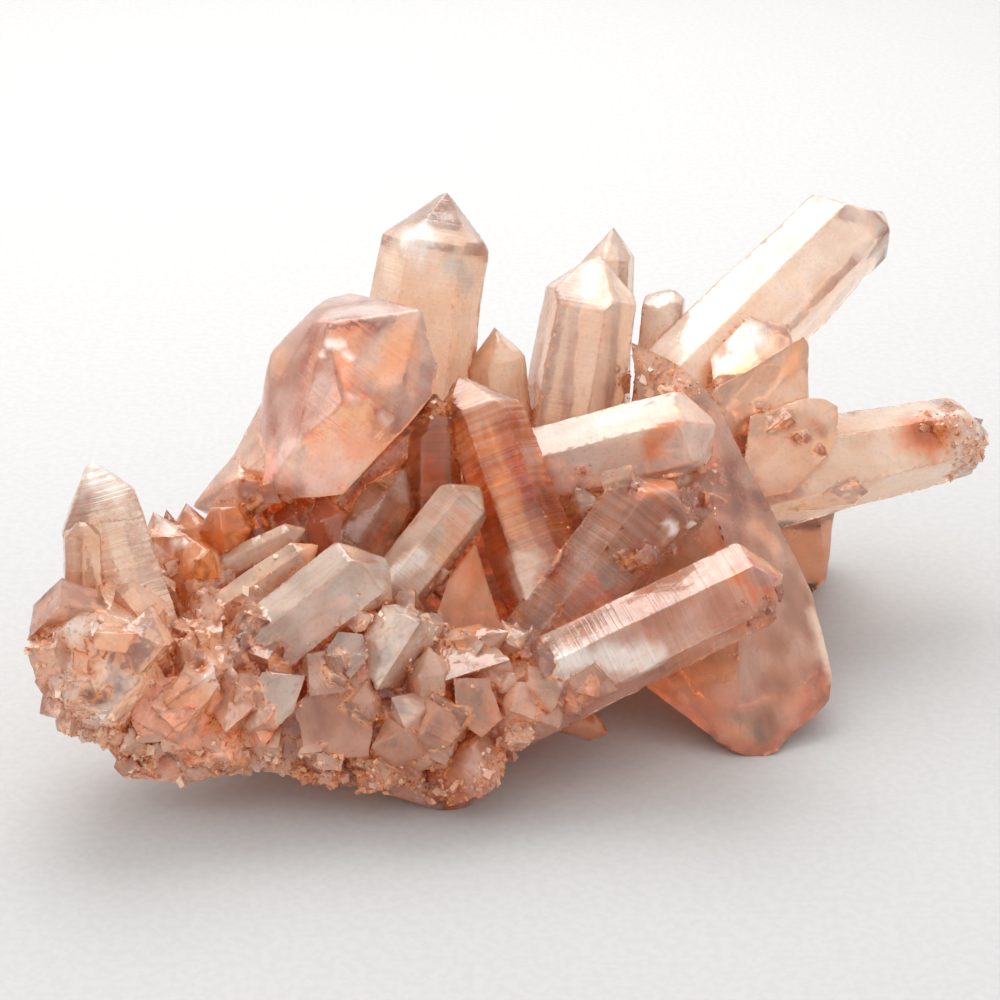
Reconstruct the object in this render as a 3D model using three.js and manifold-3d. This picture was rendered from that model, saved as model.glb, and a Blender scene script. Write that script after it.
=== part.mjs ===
// A hand-sized cluster of himalayan quartz: pale pink to orange crystals grown together from one
// rough crust of matrix. It is one natural piece, so it is one solid.
// Millimetres, +Z up, +X to the right and +Y away from the front.

import * as THREE from "three";
import { ConvexGeometry } from "three/addons/geometries/ConvexGeometry.js";
import { mergeVertices } from "three/addons/utils/BufferGeometryUtils.js";
import Module from "manifold-3d";

const wasm = await Module();
wasm.setup();

// Driving dimensions

// Places are read from the front as right, up and away from one middle point of the cluster, along
// a line of sight that looks down on it.
const SIGHT_DOWN = THREE.MathUtils.degToRad(25);
const EYE_DISTANCE = 444.4;
const MIDDLE = new THREE.Vector3(-6.9, -13.3, 34.7);

// A quartz point's faces rise this much for each millimetre in from the prism's side.
const TIP_SLOPE = 1.27;

// Solids are kept on or above the floor, and the feet are ground flat there.
const FLOOR = 0;
const FLOOR_BLOCK = 400;

// Corners nearer than this are one corner.
const WELD = 0.004;

// A corner this far outside a face still lies on it.
const ON_FACE = 1e-5;

// Three faces whose normals span less than this have no common corner.
const LEAST_SPAN = 1e-6;

// Most crystals are this much wider at the root than near the tip.
const SWELL = 1.1;

// A chip's half size along its own three axes, for a chip one millimetre long, and the least share
// of it that a corner stands out.
const CHIP_SHAPE = new THREE.Vector3(0.5, 0.36, 0.3);
const CHIP_LEAST = 0.4;

// Placing

const rightward = new THREE.Vector3(1, 0, 0);
const sight = new THREE.Vector3(0, Math.cos(SIGHT_DOWN), -Math.sin(SIGHT_DOWN));
const upward = new THREE.Vector3(0, Math.sin(SIGHT_DOWN), Math.cos(SIGHT_DOWN));

// The point seen from the front at right and up, at its depth away from the middle.
function seen([right, up, away]) {
  const spread = 1 + away / EYE_DISTANCE;
  return MIDDLE.clone()
    .addScaledVector(sight, away)
    .addScaledVector(rightward, right * spread)
    .addScaledVector(upward, up * spread);
}

// Random numbers that are the same on every run.
function randomFrom(seed) {
  const factor = 1664525;
  const step = 1013904223;
  const range = 2 ** 32;
  let state = seed;
  return () => {
    state = (state * factor + step) % range;
    return state / range;
  };
}

// Solids

// A closed geometry as a solid.
function solidOf(geometry) {
  const bare = geometry.clone();
  bare.deleteAttribute("normal");
  bare.deleteAttribute("uv");
  const merged = mergeVertices(bare, WELD);
  const vertProperties = merged.attributes.position.array;
  const triVerts = new Uint32Array(merged.index.array);
  return new wasm.Manifold(new wasm.Mesh({ numProp: 3, vertProperties, triVerts }));
}

// The point where three planes meet, or null where they don't.
function meeting(a, b, c) {
  const bc = new THREE.Vector3().crossVectors(b.normal, c.normal);
  const spread = a.normal.dot(bc);
  if (Math.abs(spread) < LEAST_SPAN) {
    return null;
  }
  const ca = new THREE.Vector3().crossVectors(c.normal, a.normal);
  const ab = new THREE.Vector3().crossVectors(a.normal, b.normal);
  return new THREE.Vector3()
    .addScaledVector(bc, -a.constant)
    .addScaledVector(ca, -b.constant)
    .addScaledVector(ab, -c.constant)
    .divideScalar(spread);
}

// The convex body inside a set of planes that all face out.
function bodyInside(planes) {
  const corners = [];
  for (let i = 0; i < planes.length; i += 1) {
    for (let j = i + 1; j < planes.length; j += 1) {
      for (let k = j + 1; k < planes.length; k += 1) {
        const corner = meeting(planes[i], planes[j], planes[k]);
        const inside = corner && planes.every((p) => p.distanceToPoint(corner) < ON_FACE);
        if (inside && corners.every((c) => c.distanceTo(corner) > WELD)) {
          corners.push(corner);
        }
      }
    }
  }
  return solidOf(new ConvexGeometry(corners));
}

// One quartz crystal from its root to its tip, both places seen from the front. Its six prism faces
// are numbered clockwise from the one that faces the front at roll 0, looking from root to tip.
// width and depth are its size across and along the line of sight near the tip, swell is its size
// at the root against that, and each of the six cuts sets one tip face back from the tip.
function crystal({
  root,
  tip,
  width,
  depth = width,
  roll = 0,
  swell = SWELL,
  slope = TIP_SLOPE,
  cuts = [],
}) {
  const foot = seen(root);
  const apex = seen(tip);
  const axis = apex.clone().sub(foot);
  const length = axis.length();
  axis.normalize();
  const across = new THREE.Vector3().crossVectors(sight, axis).normalize();
  const front = new THREE.Vector3().crossVectors(across, axis);
  const turn = THREE.MathUtils.degToRad(roll);
  const corner = (k) => turn + ((2 * k + 1) * Math.PI) / 6;
  const reach = (wave) => Math.max(...[0, 1, 2, 3, 4, 5].map((k) => Math.abs(wave(corner(k)))));
  const cornerRadius = 1 / Math.cos(Math.PI / 6);
  const halfWidth = width / 2 / (cornerRadius * reach(Math.sin));
  const halfDepth = depth / 2 / (cornerRadius * reach(Math.cos));
  const planes = [new THREE.Plane().setFromNormalAndCoplanarPoint(axis.clone().negate(), foot)];
  for (let k = 0; k < 6; k += 1) {
    const angle = turn + (k * Math.PI) / 3;
    const side = new THREE.Vector3()
      .addScaledVector(across, Math.sin(angle) / halfWidth)
      .addScaledVector(front, Math.cos(angle) / halfDepth);
    const flat = 1 / side.length();
    side.normalize();
    const tipHeight = slope * flat;
    const rootFlat = foot.clone().addScaledVector(side, flat * swell);
    const prismNormal = side.clone().addScaledVector(axis, (flat * (swell - 1)) / length);
    planes.push(new THREE.Plane().setFromNormalAndCoplanarPoint(prismNormal.normalize(), rootFlat));
    const tipNormal = side.clone().multiplyScalar(tipHeight).addScaledVector(axis, flat);
    const tipPoint = apex.clone().addScaledVector(axis, -(cuts[k] ?? 0));
    planes.push(new THREE.Plane().setFromNormalAndCoplanarPoint(tipNormal.normalize(), tipPoint));
  }
  return bodyInside(planes);
}

// A blocky body whose corners are places seen from the front.
function block(corners) {
  return solidOf(new ConvexGeometry(corners.map(seen)));
}

// The same corners as a front rim and, drawn in to a share of their spread, as a back rim.
function slab(corners, thickness, share = 0.8) {
  const middle = [0, 1, 2].map((n) => corners.reduce((sum, c) => sum + c[n], 0) / corners.length);
  const back = corners.map((c) => [
    middle[0] + (c[0] - middle[0]) * share,
    middle[1] + (c[1] - middle[1]) * share,
    c[2] + thickness,
  ]);
  return block([...corners, ...back]);
}

// Left end

function leftEnd() {
  const sentinel = crystal({
    root: [-55.6, -30, -17],
    tip: [-68.2, 11.2, -22],
    width: 12.4,
    roll: -22,
    swell: 1.2,
    slope: 1.5,
    cuts: [2, 2.5, 2, 2, 6, 5.4],
  });
  const companion = crystal({
    root: [-66.4, -22, -24],
    tip: [-67, -2, -29],
    width: 5.9,
    roll: -18,
  });
  const knobFace = [
    [-71, -21, -34],
    [-66, -17.3, -34],
    [-58, -20, -33],
    [-57.5, -29, -34],
    [-62, -34, -34],
    [-69, -32, -34],
  ];
  const knobRim = [
    [-75.4, -20.5, -27],
    [-73.3, -16.4, -25],
    [-62, -12.2, -24],
    [-54, -17, -24],
    [-52, -30, -24],
    [-60, -38, -26],
    [-65.8, -37.2, -27],
    [-69.9, -35.3, -27],
    [-73, -30.5, -28],
    [-75.2, -25, -28],
  ];
  const knobBack = [
    [-70, -20, -10],
    [-62, -14, -8],
    [-52, -16, -8],
    [-50, -30, -10],
    [-62, -31, -12],
    [-69, -29, -14],
  ];
  return [sentinel, companion, block([...knobFace, ...knobRim, ...knobBack])];
}

// Big blocky head on the upper left

function bigHead() {
  const head = block([
    [-24, 33.2, 7],
    [-27.5, 32.4, 4],
    [-32, 29, -2],
    [-27.5, 28.3, -9],
    [-12.5, 30.5, -6],
    [-36.5, 24, -1],
    [-37.6, 19, 0],
    [-38.4, 12, 1],
    [-25, 15.5, -13.5],
    [-15.5, 18.5, -11],
    [-9.9, 21.5, -6],
    [-10.8, 17, -7],
    [-14, 13, -8],
    [-33, 8, -12],
    [-38, 1.5, -7],
    [-33, 0.4, -9],
    [-25, 1, -9],
    [-14, 26, 18],
    [-33, 22, 18],
    [-13, 15, 16],
    [-30, 0, 20],
    [-40, 4, 10],
  ]);
  const upperShoulder = block([
    [-38, 16, 4],
    [-40.6, 11.4, 3],
    [-43, 6.4, 2],
    [-40.5, 5, -5],
    [-36, 4, -7],
    [-34, 10, -6],
    [-38, -2, 0],
    [-30, 12, 16],
    [-38, 4, 14],
  ]);
  const lowerShoulder = block([
    [-41.6, 8.4, 3],
    [-45.2, 4.2, 2],
    [-47.5, 1, 2],
    [-49, -1, 4],
    [-42, 3.5, -6],
    [-41.5, -3, -4],
    [-34, 2, -5],
    [-40, -6, 8],
    [-38, 4, 14],
    [-44, 0, 14],
    [-30, -4, 16],
  ]);
  return [head, upperShoulder, lowerShoulder];
}

// Crystals that stand up behind

function backRow() {
  const tower = crystal({
    root: [-16.8, 2, 26],
    tip: [-8.8, 50.4, 20],
    width: 17,
    roll: 4,
    swell: 1.28,
    slope: 1.1,
    cuts: [0, 0, 1, 2, 1.2, 1],
  });
  const stub = crystal({
    root: [1.4, 5, 26],
    tip: [-1.4, 29.4, 22],
    width: 9.4,
    roll: 10,
    cuts: [2, 2, 1, 0, 2, 3],
  });
  const twinFront = crystal({
    root: [9.5, 3, 30],
    tip: [16, 41, 26],
    width: 15.4,
    roll: -12,
    swell: 1.12,
    slope: 0.95,
    cuts: [4, 2.5, 1, 0, 1, 2],
  });
  const twinBack = crystal({
    root: [15.6, 8, 40],
    tip: [17.4, 44.6, 36],
    width: 9.8,
    roll: 15,
    slope: 1.3,
    cuts: [1, 0, 0, 0, 2, 2],
  });
  const small = crystal({
    root: [24.4, 12, 38],
    tip: [26.4, 34.6, 36],
    width: 7.4,
    roll: 20,
    slope: 0.7,
    cuts: [1, 0, 0, 0, 0, 2],
  });
  const farUpper = crystal({
    root: [28, 15.8, 32],
    tip: [61.2, 49.2, 50],
    width: 16.6,
    roll: 8,
    swell: 1.18,
    slope: 0.85,
    cuts: [1, 1.5, 1, 1, 4.8, 4.4],
  });
  return [tower, stub, twinFront, twinBack, small, farUpper];
}

// Right end

function rightEnd() {
  const clearCrystal = block([
    [33.5, 23, 25],
    [39, 28.7, 25],
    [40, 29.4, 27],
    [46, 28, 28],
    [47, 25, 26],
    [42, 21.3, 19],
    [34, 19.5, 20],
    [47, 16, 20],
    [36, 12, 20],
    [38, 26, 36],
    [45, 25, 36],
    [36, 14, 34],
  ]);
  const sharkFin = block([
    [48.5, 26, 22],
    [49.3, 25, 23],
    [49.2, 12, 20],
    [45, 23, 20],
    [40, 20.9, 16],
    [34, 17.4, 13],
    [35, 6, 15],
    [42, 9, 18],
    [47, 21, 32],
    [47, 10, 32],
    [36, 12, 28],
  ]);
  const bluntCrystal = block([
    [49, 16.2, 19],
    [52, 16, 20],
    [54, 15, 20],
    [54.2, 13.4, 19],
    [53.2, 7.8, 17],
    [46.5, 1.2, 13],
    [42, 0.4, 12],
    [39, 6, 11],
    [40, 13.5, 15],
    [52.5, 13, 32],
    [50, 3, 30],
    [40, 0, 26],
    [40, 12, 28],
  ]);
  const farCrystal = crystal({
    root: [38, 2.6, 26],
    tip: [78.4, 11.2, 38],
    width: 13.6,
    depth: 13,
    roll: 0,
    swell: 1.35,
    slope: 0.8,
    cuts: [0, 0, 0, 2, 2, 1],
  });
  const lowerTip = crystal({ root: [46, 0.4, 24], tip: [59, 1.4, 23], width: 4.4, roll: 20 });
  const rearFoot = block([
    [53.8, -1.7, 39],
    [52.6, -8, 43],
    [52.1, -12.8, 46],
    [50, -14.9, 47.5],
    [44, -15.6, 47],
    [40, -9, 40],
    [42, 2, 32],
    [51, 1, 32],
    [52, 0, 56],
    [50, -10, 58],
    [43, -11, 57],
    [41, 0, 54],
  ]);
  return [clearCrystal, sharkFin, bluntCrystal, farCrystal, lowerTip, rearFoot];
}

// Crystals in the middle and to the lower right

function centre() {
  const blade = crystal({
    root: [11.5, -26, -4],
    tip: [-5.6, 22.8, 2],
    width: 12.4,
    roll: 0,
    swell: 1.2,
    slope: 1.05,
    cuts: [2.4, 4, 4, 2, 0, 0.5],
  });
  const lyingUpper = crystal({
    root: [-1, 2.8, 12],
    tip: [35.4, 12.2, 6],
    width: 14,
    roll: 14,
    swell: 1,
    slope: 0.75,
    cuts: [1, 0, 0, 0, 0, 1],
  });
  const greatSlab = block([
    [28, 22, 14],
    [34, 16.5, 13],
    [37, 9, 12],
    [44, -2.5, 9],
    [50, -15, 6],
    [53.3, -28, 2],
    [52.8, -32, 1],
    [47.4, -37.8, -3],
    [44.4, -40.2, -4.6],
    [41, -41.4, -5],
    [37.5, -40.8, -5.4],
    [23.6, -30, 0],
    [20, -20, 4],
    [24, 6, 10],
    [32, 10, 8],
    [38.2, -29, -5.4],
    [37.6, -14, -1.5],
    [24, 18, 24],
    [34, 10, 24],
    [47, -14, 20],
    [49, -28, 14],
    [41, -37, 7],
    [26, -26, 14],
    [20, 0, 22],
  ]);
  const lyingMiddle = crystal({
    root: [3.5, -28, -8],
    tip: [28.6, 5, -5],
    width: 14.5,
    roll: 15,
    swell: 1,
    slope: 0.75,
    cuts: [0, 1, 1, 0, 2, 2],
  });
  const lyingFront = crystal({
    root: [-3, -34.5, -17],
    tip: [46.6, -10.6, -14],
    width: 14,
    roll: 5,
    swell: 1.04,
    slope: 0.75,
    cuts: [0, 1, 2, 1, 1.5, 1.5],
  });
  const darkTip = crystal({
    root: [17, -12, 4],
    tip: [11.6, 3, 2],
    width: 6.5,
    roll: 25,
    cuts: [1, 0, 0, 0, 1, 1],
  });
  const spikes = block([
    [21, 25.3, 18],
    [24, 24, 16],
    [28, 22, 14],
    [31.5, 19.4, 13],
    [34, 15, 14.5],
    [23.4, 20.6, 15],
    [22, 14, 16],
    [30, 10, 12],
    [24, 22, 20],
    [31, 18, 22],
    [26, 10, 24],
  ]);
  return [blade, lyingUpper, greatSlab, lyingMiddle, lyingFront, darkTip, spikes];
}

// Small crystals between the head, the left end and the front

function inBetween() {
  const lowerPale = crystal({
    root: [-50, -34, -22],
    tip: [-17, -8.2, -19],
    width: 12.8,
    roll: 8,
    slope: 0.85,
    cuts: [0, 0, 1, 1, 1.5, 1],
  });
  const thinUpper = crystal({ root: [-52, -23, -17], tip: [-29, -7.2, -16], width: 5.6, roll: 20 });
  const thinBack = crystal({ root: [-46, -12, -11], tip: [-31, -4.6, -12], width: 4.4, roll: 10 });
  const striped = crystal({
    root: [-23, -22, -12],
    tip: [-3, 2.8, -8],
    width: 9,
    roll: 14,
    slope: 0.9,
    cuts: [0, 0, 1, 0, 1, 0],
  });
  const deepOrange = block([
    [-4, -7, -11],
    [0.9, -22, -13],
    [-2, -25, -15],
    [-6.5, -22.6, -16],
    [-10.4, -19, -14.5],
    [-8, -12, -12],
    [0, -20, -2],
    [-10, -18, -2],
    [-4, -9, -4],
  ]);
  const smallTip = crystal({ root: [1.6, -33, -12], tip: [2.6, -19.4, -18], width: 5.4, roll: 0 });
  const endOn = crystal({
    root: [-42, -3, 6],
    tip: [-44.4, -5.3, -15],
    width: 7.8,
    roll: 12,
    slope: 0.8,
    cuts: [0, 1, 1, 0, 1, 1],
  });
  const leftGroup = [
    crystal({ root: [-49, -24, -8], tip: [-53.4, -1.4, -8], width: 5, roll: 10, slope: 2.2 }),
    crystal({ root: [-48, -24, -10], tip: [-55.5, -1.8, -11], width: 6, roll: 20 }),
    crystal({ root: [-46, -24, -8], tip: [-50.2, -0.6, -7], width: 6.6, roll: 0 }),
    crystal({ root: [-44, -22, -10], tip: [-51, -5, -14], width: 8, roll: 24 }),
    crystal({ root: [-44, -28, -8], tip: [-47.5, -8.5, -13], width: 8.5, roll: 10 }),
  ];
  const hollow = [
    crystal({ root: [-11, -6, 4], tip: [-11, 18, -1], width: 9.2, roll: 12, cuts: [1, 0, 0, 0, 0, 2] }),
    crystal({ root: [-24, -12, -2], tip: [-15, 5.4, -4], width: 8.6, roll: 24 }),
    crystal({ root: [-32, -6, 0], tip: [-11.6, 12.6, 1], width: 5.4, roll: 20 }),
    crystal({ root: [-30, -12, 4], tip: [-37.6, 1.6, -1], width: 8, roll: 8 }),
    crystal({ root: [-24, -14, 0], tip: [-29, 1.2, -3], width: 7, roll: 24 }),
    crystal({ root: [-40, -16, 0], tip: [-38.5, -1.5, -5], width: 8, roll: 0 }),
  ];
  return [lowerPale, thinUpper, thinBack, striped, deepOrange, smallTip, endOn, ...leftGroup, ...hollow];
}

// Front of the matrix

function matrixFront() {
  const leftSlab = [
    [-58, -29, -30],
    [-50, -28, -30],
    [-47, -34, -31],
    [-53, -38, -31],
    [-59, -35, -30],
  ];
  const paleSlab = [
    [-43, -36, -30],
    [-38, -27.5, -30],
    [-31, -28, -30],
    [-33, -34, -31],
    [-38, -38, -30],
  ];
  const pinkSlab = [
    [-33, -33, -30],
    [-30, -30, -29],
    [-24, -29.5, -29],
    [-20, -32, -29],
    [-21, -41, -29],
    [-31, -41, -29],
  ];
  const clearKnob = [
    [-28, -24, -29],
    [-26, -21, -28],
    [-22, -21.5, -28],
    [-21, -25, -29],
    [-24, -28.5, -30],
  ];
  const greySlab = [
    [-7.4, -28.5, -27],
    [-2, -28.5, -27],
    [0.4, -35, -27],
    [-3, -38, -27],
    [-7, -35, -28],
  ];
  const frostedLedge = [
    [-24, -19, -18],
    [-10, -18, -16],
    [-3, -25, -18],
    [-4, -28, -22],
    [-14, -27, -22],
    [-24, -25, -22],
  ];
  const pitSlab = [
    [-17, -33, -26],
    [-13, -36, -27],
    [-12, -43, -26],
    [-19, -44, -27],
    [-22, -38, -27],
  ];
  return [
    slab(leftSlab, 14),
    slab(paleSlab, 14, 0.9),
    slab(pinkSlab, 14),
    slab(clearKnob, 12, 0.7),
    slab(greySlab, 12, 0.9),
    slab(frostedLedge, 16),
    slab(pitSlab, 12),
    crystal({ root: [-11, -42, -22], tip: [-11.4, -23.4, -26], width: 6.4, roll: 12, swell: 1.2 }),
    crystal({ root: [4, -33, -12], tip: [17.6, -37.4, -9], width: 4.4, roll: 15 }),
  ];
}

// Bulk of the matrix, under and behind everything

function matrixBulk() {
  const lumps = [
    [
      [-62, -39, -22],
      [-59, -44.6, -23],
      [-51.5, -45.6, -25],
      [-42, -43, -26],
      [-36, -42.6, -26],
      [-40, -24, -27],
      [-58, -22, -25],
      [-70, -30, -22],
      [-50, -16, 0],
      [-36, -30, -4],
      [-60, -30, -8],
    ],
    [
      [-44, -42, -25],
      [-30, -45, -24],
      [-22, -46, -23],
      [-12, -46, -23],
      [-14, -24, -24],
      [-40, -22, -25],
      [-36, -20, 4],
      [-12, -30, 2],
      [-24, -38, -6],
    ],
    [
      [-22, -45.8, -22],
      [-13, -48.4, -21],
      [-10.6, -49.6, -19],
      [-8, -50.2, -19.4],
      [-5, -49, -18.6],
      [-9, -46.6, -14],
      [-4, -46.8, -20.5],
      [2.5, -40.5, -18],
      [4, -34, -20],
      [2, -24, -20],
      [-18, -22, -22],
      [0, -28, 6],
      [-14, -40, -4],
    ],
  ];
  const heart = [
    [-44, -12, 8],
    [-28, -20, 6],
    [0, -24, 4],
    [24, -17, 9],
    [34, -4, 12],
    [30, 10, 22],
    [0, 12, 18],
    [-34, 4, 12],
    [-38, -4, 34],
    [-20, -8, 42],
    [14, -9, 42],
    [38, -4, 40],
    [34, 8, 42],
    [0, 11, 46],
    [-28, 6, 42],
  ];
  const underside = [
    [-38, -20, 4],
    [-14, -21, 4],
    [12, -20, 8],
    [30, -12, 18],
    [12, -13, 24],
    [-14, -13, 22],
    [-34, -12, 22],
    [-27, -6, 36],
    [-2, -6, 38],
    [26, -4, 40],
  ];
  const farRim = [
    [-38, -2, 32],
    [-26, -2, 44],
    [-6, 2, 48],
    [16, -1, 47],
    [34, 2, 46],
  ];
  return [
    ...lumps.map((corners) => block(corners)),
    block(heart),
    ...chipsAlong(underside, 22, [4, 2, 3], [18, 27], 53),
    ...chipsAlong(farRim, 12, [4, 3, 3], [9, 15], 61),
  ];
}

// Rough crust

// A chip of quartz: an uneven box, longer one way than the others.
function chip(place, size, random) {
  const corners = [];
  for (let n = 0; n < 8; n += 1) {
    const side = (bit) => ((n >> bit) & 1 ? 1 : -1) * THREE.MathUtils.lerp(CHIP_LEAST, 1, random());
    const corner = new THREE.Vector3(side(0), side(1), side(2));
    corners.push(corner.multiply(CHIP_SHAPE).multiplyScalar(size));
  }
  const turn = new THREE.Euler(random() * Math.PI, random() * Math.PI, random() * Math.PI);
  const middle = seen(place);
  return solidOf(new ConvexGeometry(corners.map((c) => c.applyEuler(turn).add(middle))));
}

// Chips set along a line of places, each moved off it by up to the spread right, up and away.
function chipsAlong(line, count, spread, size, seed) {
  const random = randomFrom(seed);
  const chips = [];
  for (let n = 0; n < count; n += 1) {
    const along = ((n + random()) / count) * (line.length - 1);
    const leg = Math.min(Math.floor(along), line.length - 2);
    const place = spread.map((reach, axis) => {
      const onLine = THREE.MathUtils.lerp(line[leg][axis], line[leg + 1][axis], along - leg);
      return onLine + THREE.MathUtils.lerp(-reach, reach, random());
    });
    chips.push(chip(place, THREE.MathUtils.lerp(size[0], size[1], random()), random));
  }
  return chips;
}

// The ragged lower rim and the uneven front of the matrix.
function crust() {
  const lowerRim = [
    [-72, -29, -26],
    [-68.5, -34.5, -26],
    [-64, -36.5, -26],
    [-59, -42, -22],
    [-50, -43.2, -24],
    [-38, -41, -25],
    [-29, -43.6, -23],
    [-20, -44, -21],
    [-13, -46.4, -20],
    [-6, -45.4, -19],
    [1, -39.6, -17],
  ];
  const upperRim = [
    [-70, -31, -29],
    [-60, -37, -28],
    [-48, -40, -27.5],
    [-36, -38.5, -27.5],
    [-22, -41, -25.5],
    [-8, -41.5, -22.5],
    [2, -35, -19.5],
  ];
  const ledge = [
    [-62, -14, -24],
    [-55, -24, -25],
    [-44, -30, -26],
    [-30, -29, -26],
    [-16, -28, -23],
    [-2, -30, -21],
  ];
  const farTip = [
    [71, 14, 36],
    [75.4, 10.4, 37],
    [73.4, 8, 36],
  ];
  return [
    ...chipsAlong(lowerRim, 44, [1.2, 0.8, 3], [2.6, 5.4], 11),
    ...chipsAlong(upperRim, 24, [3, 2, 1], [5, 9], 23),
    ...chipsAlong(ledge, 12, [3, 3, 1], [5, 9], 37),
    ...chipsAlong(farTip, 16, [2.4, 4, 4], [2.4, 4], 41),
  ];
}

// Crystals on the far side

function farSide() {
  return [
    crystal({ root: [-28, 2, 34], tip: [-32, 16, 62], width: 13, roll: 10, cuts: [0, 1, 0, 2, 0, 1] }),
    crystal({ root: [-14, 0, 40], tip: [-12, 11, 68], width: 15, roll: 20, cuts: [1, 0, 2, 0, 1, 0] }),
    crystal({ root: [4, 0, 42], tip: [10, 8, 66], width: 12, roll: 0, cuts: [0, 2, 0, 1, 0, 0] }),
    crystal({ root: [20, -2, 42], tip: [27, 8, 69], width: 14, roll: 15, cuts: [0, 0, 1, 0, 2, 0] }),
    crystal({ root: [34, -2, 42], tip: [43, 6, 64], width: 11, roll: 5 }),
    crystal({ root: [-34, -6, 28], tip: [-44, -3, 54], width: 11, roll: 25 }),
    crystal({ root: [-20, -8, 42], tip: [-27, -7, 64], width: 9, roll: 10 }),
    crystal({ root: [8, -8, 44], tip: [3, -6.5, 68], width: 10, roll: 20 }),
    crystal({ root: [-2, 6, 40], tip: [-7, 22, 50], width: 8, roll: 12 }),
    crystal({ root: [10, 4, 44], tip: [14, 16, 60], width: 7, roll: 28 }),
    crystal({ root: [28, 4, 42], tip: [33, 14, 58], width: 8, roll: 8 }),
  ];
}

// The whole

function quartzCluster() {
  const pieces = [
    ...leftEnd(),
    ...bigHead(),
    ...backRow(),
    ...rightEnd(),
    ...centre(),
    ...inBetween(),
    ...matrixFront(),
    ...matrixBulk(),
    ...crust(),
    ...farSide(),
  ];
  const joined = pieces.reduce((whole, piece) => whole.add(piece));
  const under = new THREE.BoxGeometry(FLOOR_BLOCK, FLOOR_BLOCK, FLOOR_BLOCK);
  under.translate(0, 0, FLOOR - FLOOR_BLOCK / 2);
  return joined.subtract(solidOf(under));
}

// The triangles of the outer surface: pockets sealed between crystals are left solid.
function outerTriangles({ triVerts, numVert }) {
  const group = Array.from({ length: numVert }, (_, vertex) => vertex);
  const leader = (vertex) => {
    while (group[vertex] !== vertex) {
      group[vertex] = group[group[vertex]];
      vertex = group[vertex];
    }
    return vertex;
  };
  for (let n = 0; n < triVerts.length; n += 3) {
    group[leader(triVerts[n + 1])] = leader(triVerts[n]);
    group[leader(triVerts[n + 2])] = leader(triVerts[n]);
  }
  const sizes = new Map();
  triVerts.forEach((vertex) => sizes.set(leader(vertex), (sizes.get(leader(vertex)) ?? 0) + 1));
  const [outer] = [...sizes].sort((a, b) => b[1] - a[1])[0];
  return triVerts.filter((vertex) => leader(vertex) === outer);
}

// A solid as a geometry for a mesh.
function geometryOf(solid) {
  const mesh = solid.getMesh();
  const geometry = new THREE.BufferGeometry();
  geometry.setAttribute("position", new THREE.BufferAttribute(mesh.vertProperties, 3));
  geometry.setIndex(new THREE.BufferAttribute(outerTriangles(mesh), 1));
  geometry.computeVertexNormals();
  return geometry;
}

function quartzMaterial() {
  return new THREE.MeshStandardMaterial({
    color: 0xd9a184,
    roughness: 0.25,
    metalness: 0,
    flatShading: true,
  });
}

const cluster = new THREE.Mesh(geometryOf(quartzCluster()), quartzMaterial());
cluster.name = "quartz_cluster";

const part = new THREE.Group();
part.add(cluster);

export default part;
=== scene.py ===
import math

import bmesh
import bpy
import numpy as np
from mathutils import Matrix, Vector, noise
from mathutils.bvhtree import BVHTree


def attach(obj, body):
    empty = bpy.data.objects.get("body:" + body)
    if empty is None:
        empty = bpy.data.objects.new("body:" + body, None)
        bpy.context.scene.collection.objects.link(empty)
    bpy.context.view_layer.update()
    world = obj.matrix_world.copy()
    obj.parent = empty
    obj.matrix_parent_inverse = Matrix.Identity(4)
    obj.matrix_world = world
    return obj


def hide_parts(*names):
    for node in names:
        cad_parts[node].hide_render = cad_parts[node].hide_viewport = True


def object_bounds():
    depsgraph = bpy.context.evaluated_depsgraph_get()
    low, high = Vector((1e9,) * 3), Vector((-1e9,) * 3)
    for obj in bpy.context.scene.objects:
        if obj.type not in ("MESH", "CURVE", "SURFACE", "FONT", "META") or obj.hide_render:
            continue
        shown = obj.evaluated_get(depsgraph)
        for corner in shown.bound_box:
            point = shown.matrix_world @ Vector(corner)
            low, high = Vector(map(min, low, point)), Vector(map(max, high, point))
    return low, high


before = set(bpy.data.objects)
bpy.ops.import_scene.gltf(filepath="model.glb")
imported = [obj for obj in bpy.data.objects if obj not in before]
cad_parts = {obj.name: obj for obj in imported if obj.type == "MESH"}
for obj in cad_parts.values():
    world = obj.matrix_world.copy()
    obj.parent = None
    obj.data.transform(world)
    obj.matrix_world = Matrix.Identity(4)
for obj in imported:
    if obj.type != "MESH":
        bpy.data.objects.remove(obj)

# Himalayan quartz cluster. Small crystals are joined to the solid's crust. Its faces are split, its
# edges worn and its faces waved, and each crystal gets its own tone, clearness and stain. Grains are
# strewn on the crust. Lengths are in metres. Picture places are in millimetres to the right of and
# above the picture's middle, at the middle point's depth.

for left_over in ("Cube", "Light", "Camera"):
    if left_over in bpy.data.objects:
        bpy.data.objects.remove(bpy.data.objects[left_over])

MM = 0.001
CAD_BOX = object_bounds()

# The view in which the cluster's places are read, as in its solid.
SIGHT_DOWN = math.radians(25)
EYE_DISTANCE = 444.4 * MM
MIDDLE = Vector((-6.9, -13.3, 34.7)) * MM
LENS = 100
RIGHTWARD = Vector((1, 0, 0))
SIGHT = Vector((0, math.cos(SIGHT_DOWN), -math.sin(SIGHT_DOWN)))
UPWARD = Vector((0, math.sin(SIGHT_DOWN), math.cos(SIGHT_DOWN)))
EYE = MIDDLE - SIGHT * EYE_DISTANCE

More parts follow.
